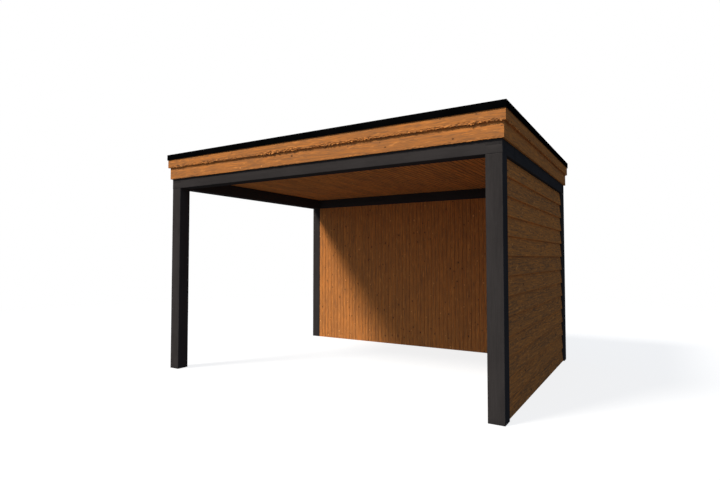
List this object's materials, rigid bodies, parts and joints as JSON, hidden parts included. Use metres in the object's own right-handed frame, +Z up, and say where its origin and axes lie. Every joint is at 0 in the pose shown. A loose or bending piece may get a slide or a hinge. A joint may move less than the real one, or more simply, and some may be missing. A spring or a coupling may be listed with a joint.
{
  "type": "wooden veranda",
  "caption": "Free-standing flat-roofed wooden veranda: black square posts and ring beam, stained boards on back and right walls, open front and left side.",
  "frame": {"origin": "on the ground in the middle of the plan, which is also the middle of the roof's edge trim", "axes": "+X to the right (the boarded right wall), +Y to the back (the boarded back wall), +Z up"},
  "size_m": [4.0974, 3.0974, 2.5715],
  "materials": {
    "stained_wood": "satin",
    "black_wood": "satin",
    "raw_wood": "matte",
    "roof_membrane": "matte",
    "edge_trim": "matte"
  },
  "bodies": {
    "root": {"post_front_left": "black_wood", "post_front_right": "black_wood", "post_back_left": "black_wood", "post_back_right": "black_wood", "beam_front": "black_wood", "beam_back": "black_wood", "beam_left": "black_wood", "beam_right": "black_wood", "back_wall_cladding": "stained_wood", "back_wall_lining": "stained_wood", "back_wall_studs": "raw_wood", "back_wall_plates": "raw_wood", "back_wall_battens": "raw_wood", "right_wall_cladding": "stained_wood", "right_wall_lining": "stained_wood", "right_wall_studs": "raw_wood", "right_wall_plates": "raw_wood", "right_wall_battens": "raw_wood", "ceiling_boards": "stained_wood", "roof_joists": "raw_wood", "roof_deck": "raw_wood", "roof_membrane": "roof_membrane", "rim_joist_front": "raw_wood", "rim_joist_back": "raw_wood", "rim_joist_left": "raw_wood", "rim_joist_right": "raw_wood", "roof_kerb_front": "raw_wood", "roof_kerb_back": "raw_wood", "roof_kerb_left": "raw_wood", "roof_kerb_right": "raw_wood", "fascia_lower_front": "stained_wood", "fascia_lower_back": "stained_wood", "fascia_lower_left": "stained_wood", "fascia_lower_right": "stained_wood", "fascia_upper_front": "stained_wood", "fascia_upper_back": "stained_wood", "fascia_upper_left": "stained_wood", "fascia_upper_right": "stained_wood", "fascia_packers": "raw_wood", "roof_trim_front": "edge_trim", "roof_trim_back": "edge_trim", "roof_trim_left": "edge_trim", "roof_trim_right": "edge_trim"}
  },
  "joints": []
}
